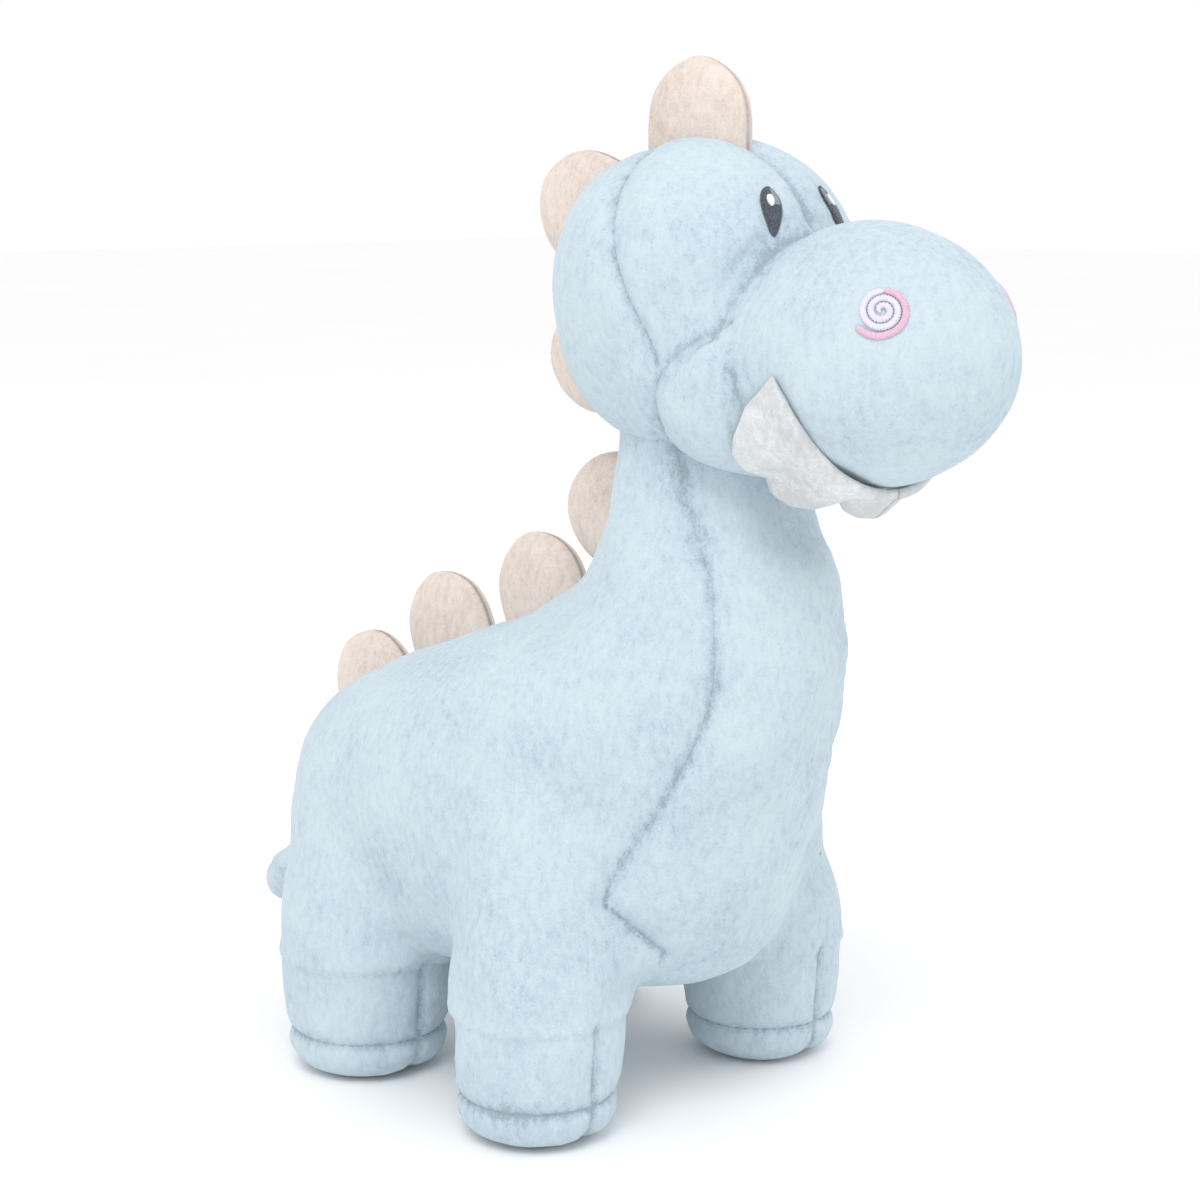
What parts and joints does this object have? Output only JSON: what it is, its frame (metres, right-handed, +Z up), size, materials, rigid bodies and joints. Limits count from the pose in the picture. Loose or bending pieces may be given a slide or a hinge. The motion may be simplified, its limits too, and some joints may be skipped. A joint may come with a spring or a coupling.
{
  "type": "stuffed dinosaur",
  "caption": "Long-necked plush dinosaur on stubby legs: pale blue short pile, padded beige back plates, a big round muzzle, embroidered face, fabric teeth.",
  "frame": {"origin": "on the floor under the middle of the toy's box", "axes": "+Z up; the dinosaur looks along -Y; its left side is +X"},
  "size_m": [0.145, 0.2927, 0.2995],
  "materials": {
    "body_pile": "short dense pile with a soft sheen, pale baby blue",
    "spike_fabric": "short pile, warm beige",
    "teeth_fabric": "smooth short pile, off-white",
    "eye_thread": "satin-stitch embroidery, near black with a white glint",
    "nostril_thread": "satin-stitch embroidery, pale pink",
    "fibre_filling": "matte white polyester fibre"
  },
  "bodies": {
    "trunk": {"trunk_filling": "fibre_filling", "chest_belly_panel": "body_pile", "side_panel_right": "body_pile", "side_panel_left": "body_pile", "spike_shoulder": "spike_fabric", "spike_back": "spike_fabric", "spike_rump": "spike_fabric"},
    "neck": {"neck_filling": "fibre_filling", "throat_panel": "body_pile", "neck_panel_right": "body_pile", "neck_panel_left": "body_pile", "spike_neck": "spike_fabric"},
    "head": {"head_filling": "fibre_filling", "head_back_right": "body_pile", "head_back_left": "body_pile", "face_right": "body_pile", "face_left": "body_pile", "muzzle_cover_right": "body_pile", "muzzle_cover_left": "body_pile", "chin_cover": "body_pile", "teeth_right": "teeth_fabric", "teeth_left": "teeth_fabric", "eye_right": "eye_thread", "eye_left": "eye_thread", "nostril_right": "nostril_thread", "nostril_left": "nostril_thread", "spike_crown": "spike_fabric", "spike_head_upper": "spike_fabric", "spike_head_lower": "spike_fabric"},
    "tail": {"tail_cover": "body_pile", "tail_filling": "fibre_filling"},
    "front_right_leg": {"front_right_leg_outer_panel": "body_pile", "front_right_leg_inner_panel": "body_pile", "front_right_leg_sole": "body_pile", "front_right_leg_filling": "fibre_filling"},
    "front_left_leg": {"front_left_leg_outer_panel": "body_pile", "front_left_leg_inner_panel": "body_pile", "front_left_leg_sole": "body_pile", "front_left_leg_filling": "fibre_filling"},
    "rear_right_leg": {"rear_right_leg_outer_panel": "body_pile", "rear_right_leg_inner_panel": "body_pile", "rear_right_leg_sole": "body_pile", "rear_right_leg_filling": "fibre_filling"},
    "rear_left_leg": {"rear_left_leg_outer_panel": "body_pile", "rear_left_leg_inner_panel": "body_pile", "rear_left_leg_sole": "body_pile", "rear_left_leg_filling": "fibre_filling"}
  },
  "joints": [
    {"name": "neck_bend", "type": "hinge", "parent": "trunk", "child": "neck", "pos_m": [0, -0.052, 0.17], "axis": [1, 0, 0], "range_deg": [-8, 8], "stiffness_Nm_per_rad": 1.2},
    {"name": "head_turn", "type": "hinge", "parent": "neck", "child": "head", "pos_m": [0, -0.05, 0.182], "axis": [0, -0.2588, 0.9659], "range_deg": [-20, 20], "stiffness_Nm_per_rad": 0.25},
    {"name": "tail_swing", "type": "hinge", "parent": "trunk", "child": "tail", "pos_m": [0, 0.084, 0.06], "axis": [0, 0, 1], "range_deg": [-15, 15], "stiffness_Nm_per_rad": 0.08},
    {"name": "front_right_leg_swing", "type": "hinge", "parent": "trunk", "child": "front_right_leg", "pos_m": [-0.0485, -0.03, 0.04], "axis": [1, 0, 0], "range_deg": [-9, 9], "stiffness_Nm_per_rad": 0.9},
    {"name": "front_left_leg_swing", "type": "hinge", "parent": "trunk", "child": "front_left_leg", "pos_m": [0.0485, -0.03, 0.04], "axis": [1, 0, 0], "range_deg": [-9, 9], "stiffness_Nm_per_rad": 0.9},
    {"name": "rear_right_leg_swing", "type": "hinge", "parent": "trunk", "child": "rear_right_leg", "pos_m": [-0.045, 0.047, 0.04], "axis": [1, 0, 0], "range_deg": [-9, 9], "stiffness_Nm_per_rad": 0.9},
    {"name": "rear_left_leg_swing", "type": "hinge", "parent": "trunk", "child": "rear_left_leg", "pos_m": [0.045, 0.047, 0.04], "axis": [1, 0, 0], "range_deg": [-9, 9], "stiffness_Nm_per_rad": 0.9}
  ]
}
